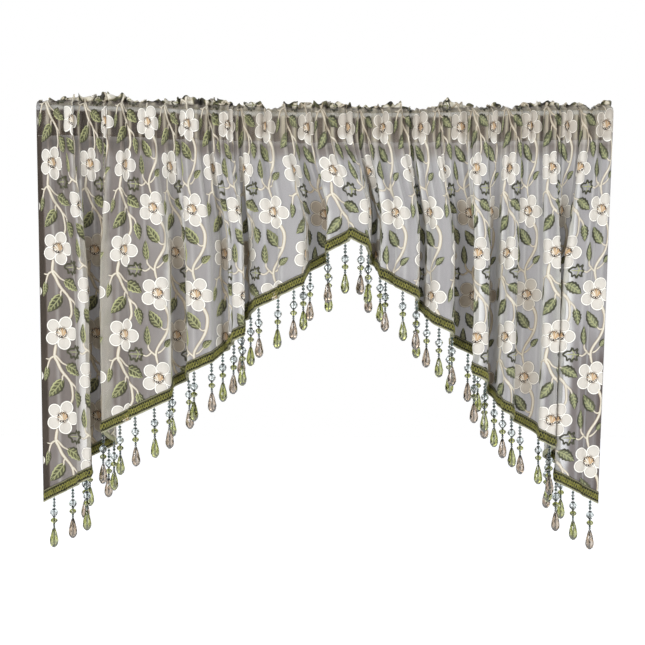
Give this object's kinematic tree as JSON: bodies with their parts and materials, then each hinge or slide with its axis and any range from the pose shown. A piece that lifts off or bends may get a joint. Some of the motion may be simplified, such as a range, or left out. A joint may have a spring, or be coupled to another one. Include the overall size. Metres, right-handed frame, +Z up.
{
  "type": "lace curtain on a rod",
  "caption": "Sheer embroidered lace curtain gathered on a slim rod, with a ruffled top, an upside-down V hem, a braid and a hanging bead fringe, to dress the upper part of a window.",
  "frame": {"origin": "middle of the rod's left end face, as seen from the front", "axes": "+X along the rod to its right end, +Y from the front of the curtain to its back, +Z up; the front faces -Y"},
  "size_m": [1.096, 0.0813, 0.8642],
  "materials": {
    "rod": "smooth white enamel",
    "sheer_cloth": "sheer voile with embroidered flowers and leaves",
    "braid": "woven olive braid with a twisted middle",
    "beads": "clear faceted beads, green and pale champagne"
  },
  "bodies": {
    "root": {"rod": "rod", "panel": "sheer_cloth", "braid": "braid", "bead_fringe_left": "beads", "bead_fringe_right": "beads"}
  },
  "joints": []
}
